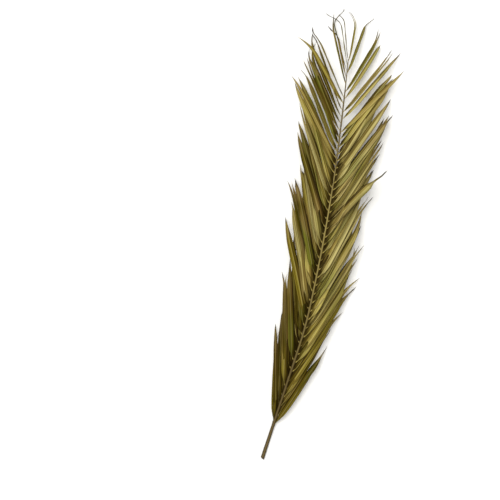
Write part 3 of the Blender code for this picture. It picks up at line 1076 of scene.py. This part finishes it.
def leaflet_material():
    """Straw, olive and brown leaflets, streaked along their veins, with pale roots and dark tips. Painted
    shade darkens their edges, inner halves and roots, and their pale midribs are painted brighter as a
    highlight.
    """
    material, tree, shader, grain, (along, across, tint), facing = new_material("dry_leaflet")
    grain_across = add_node(tree, "SeparateXYZ", {"Vector": grain}).outputs["X"]
    dry = add_node(tree, "Attribute", attribute_name="dry").outputs["Fac"]
    drift = pattern(tree, grain, *DRIFT)
    streaks = pattern(tree, grain, *STREAKS)

    colour = tinted(tree, tint, LEAFLET_STOPS)
    colour = patched(tree, colour, drift, BROWNER)
    colour = patched(tree, colour, pattern(tree, grain, *GREEN_PATTERN), GREENER)
    colour = patched(tree, colour, pattern(tree, grain, *RUDDY_PATTERN), RUDDIER)
    colour = blend(tree, STREAK_STRENGTH, colour, tinted(tree, streaks, STREAK_STOPS), "MULTIPLY")
    bands = tinted(tree, pattern(tree, grain, *BANDS), BAND_STOPS)
    colour = blend(tree, BAND_STRENGTH, colour, bands, "MULTIPLY")
    colour = patched(tree, colour, pattern(tree, grain, *SPOTS), SPOTTED)

    # Painted shade: a dark line along both edges of each blade, for the shadow gaps between blades
    uneven_across = calculate(tree, "ADD", across, times(tree, drift, EDGE_DRIFT))
    colour = patched(tree, colour, uneven_across, PAINTED_EDGE_SHADE)
    # Painted shade: the inner half of each blade darker than the outer half
    halves = between(tree, grain_across, *INNER_HALF_METRES)
    colour = laid(tree, colour, halves, INNER_HALF_PAINTED_SHADE, "MULTIPLY")
    # Painted shade along the inner half's edge, where it tucks under the neighbouring blade
    tucked_shade = times(tree, between(tree, across, *TUCKED_ACROSS), halves)
    colour = laid(tree, colour, tucked_shade, TUCKED_PAINTED_SHADE, "MULTIPLY")

    unevenness = times(tree, calculate(tree, "SUBTRACT", drift, DRIFT_MIDDLE), END_DRIFT)
    colour = patched(tree, colour, calculate(tree, "ADD", along, unevenness), FADED_END)
    colour = laid(tree, colour, dry, DRY_END)

    # Painted shade near the root on both halves of each blade, strongest on the inner half
    inner_shade = between(tree, grain_across, *INNER_SHADE_METRES)
    inner_shade = times(tree, between(tree, along, *INNER_SHADE_ALONG), inner_shade)
    outer_shade = between(tree, grain_across, *OUTER_SHADE_METRES)
    outer_shade = times(tree, between(tree, along, *OUTER_SHADE_ALONG), outer_shade)
    shaded = calculate(tree, "MAXIMUM", inner_shade, times(tree, outer_shade, OUTER_SHADE))
    colour = laid(tree, colour, shaded, SHADED_ROOT)
    # A pale midrib along the fold, painted brighter as a highlight: more on paler blades, none where dry
    keel_and_highlight = times(tree, between(tree, across, *KEEL_ACROSS), calculate(tree, "SUBTRACT", 1.0, dry))
    keel_and_highlight = times(tree, keel_and_highlight, calculate(tree, "MULTIPLY_ADD", tint, KEEL_STRENGTH_BY_TINT, KEEL_STRENGTH))
    colour = blend(tree, keel_and_highlight, colour, srgb(*KEEL_AND_HIGHLIGHT_COLOUR))
    stub = times(tree, between(tree, along, *STUB_ALONG), between(tree, across, *STUB_ACROSS))
    colour = laid(tree, colour, stub, STUB)
    underside = blend(tree, UNDERSIDE_STRENGTH, colour, srgb(*UNDERSIDE_COLOUR))
    colour = blend(tree, facing, underside, colour)

    height = calculate(tree, "ADD", pattern(tree, grain, *FIBRES), times(tree, drift, DRIFT_RELIEF))
    finish_shader(tree, shader, colour, streaks, LEAFLET_ROUGHNESS, LEAFLET_SPECULAR, height, LEAFLET_RELIEF)
    return material


def rib_material():
    """Yellow olive and glossier than the leaflets, browner down the stalk, with a dark fibrous cut end."""
    material, tree, shader, grain, (along, up, _), side = new_material("dry_rib")
    streaks = pattern(tree, grain, *RIB_STREAKS)
    colour = tinted(tree, streaks, RIB_STOPS)
    colour = patched(tree, colour, along, STALK_BROWN)
    colour = patched(tree, colour, up, RIB_FLANK, "MULTIPLY")
    colour = patched(tree, colour, along, RIB_END)
    colour = patched(tree, colour, pattern(tree, grain, *RIB_BLOTCHES), RIB_BLOTCHED)
    colour = patched(tree, colour, along, CUT_RIM)
    fibre_ends = add_node(tree, "TexVoronoi", {"Vector": grain, "Scale": CUT_FIBRES}, feature="F1")
    fibres = fibre_ends.outputs["Distance"]
    colour = blend(tree, side, tinted(tree, fibres, CUT_STOPS), colour)
    end_relief = times(tree, fibres, calculate(tree, "SUBTRACT", 1.0, side))
    height = calculate(tree, "ADD", streaks, end_relief)
    finish_shader(tree, shader, colour, streaks, RIB_ROUGHNESS, RIB_SPECULAR, height, RIB_RELIEF)
    return material


def floor_material():
    material = bpy.data.materials.new("floor_paper")
    material.use_nodes = True
    shader = material.node_tree.nodes["Principled BSDF"]
    shader.inputs["Base Color"].default_value = FLOOR_COLOUR
    shader.inputs["Roughness"].default_value = FLOOR_ROUGHNESS
    shader.inputs["Specular IOR Level"].default_value = FLOOR_SPECULAR
    return material


# Studio


def studio_light():
    """An even white surrounding and one large lamp from the upper left, aimed at the middle of the leaf."""
    world = bpy.data.worlds.new("studio")
    bpy.context.scene.world = world
    world.use_nodes = True
    background = world.node_tree.nodes["Background"]
    background.inputs["Color"].default_value = (1.0, 1.0, 1.0, 1.0)
    background.inputs["Strength"].default_value = WORLD_STRENGTH

    light = bpy.data.lights.new("key", "AREA")
    light.shape = "DISK"
    light.size = KEY_SIZE
    light.energy = KEY_POWER
    lamp = bpy.data.objects.new("key", light)
    lamp.location = KEY_PLACE
    lamp.rotation_euler = (-KEY_PLACE).to_track_quat("-Z", "Y").to_euler()
    bpy.context.scene.collection.objects.link(lamp)


def studio_floor():
    mesh = bpy.data.meshes.new("floor")
    corners = [(x * FLOOR_REACH, y * FLOOR_REACH, 0) for x, y in ((-1, -1), (1, -1), (1, 1), (-1, 1))]
    mesh.from_pydata(corners, [], [(0, 1, 2, 3)])
    mesh.materials.append(floor_material())
    floor = bpy.data.objects.new("floor", mesh)
    bpy.context.scene.collection.objects.link(floor)


def studio_camera():
    """A camera straight above the picture's middle, at the photograph's scale."""
    middle = PICTURE / 2
    x = CUT_END.x + (middle - CUT_END_PIXEL[0]) * METRES_PER_PIXEL
    y = CUT_END.y + (CUT_END_PIXEL[1] - middle) * METRES_PER_PIXEL
    camera_data = bpy.data.cameras.new("camera")
    camera_data.sensor_width = SENSOR
    camera_data.lens = SENSOR * CAMERA_HEIGHT / (PICTURE * METRES_PER_PIXEL)
    camera = bpy.data.objects.new("camera", camera_data)
    camera.location = (x, y, CAMERA_HEIGHT)
    bpy.context.scene.collection.objects.link(camera)
    bpy.context.scene.camera = camera


# The leaf

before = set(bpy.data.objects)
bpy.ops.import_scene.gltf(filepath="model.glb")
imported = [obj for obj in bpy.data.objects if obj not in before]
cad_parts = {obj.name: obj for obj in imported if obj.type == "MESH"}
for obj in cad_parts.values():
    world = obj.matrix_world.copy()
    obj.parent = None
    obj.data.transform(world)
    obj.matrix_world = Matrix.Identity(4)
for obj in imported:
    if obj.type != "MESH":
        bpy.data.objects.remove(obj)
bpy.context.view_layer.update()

draw = random.Random(SEED)
fine = random.Random(DETAIL_SEED)
plans = {1: [], -1: []}
characters = {1: [], -1: []}
for number in range(LEAFLET_PAIRS):
    for side in (1, -1):
        if (side, number) not in LOST_ONES:
            plan = leaflet_plan(side, number, draw)
            plans[side].append(plan)
            character = drawn_character(fine, side, plan["share"])
            character["thread_from"] = LONG_THREADS.get((side, number), character["thread_from"])
            characters[side].append(character)

leaf_look = leaflet_material()
pieces = [
    leaflets("leaflets_right", plans[1], characters[1], leaf_look),
    leaflets("leaflets_left", plans[-1], characters[-1], leaf_look),
    rib(plans[1] + plans[-1], rib_material()),
]
for piece in pieces:
    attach(piece, "root")
    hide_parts("palm_leaf")

bpy.context.scene.view_settings.view_transform = "Standard"
studio_light()
studio_floor()
studio_camera()
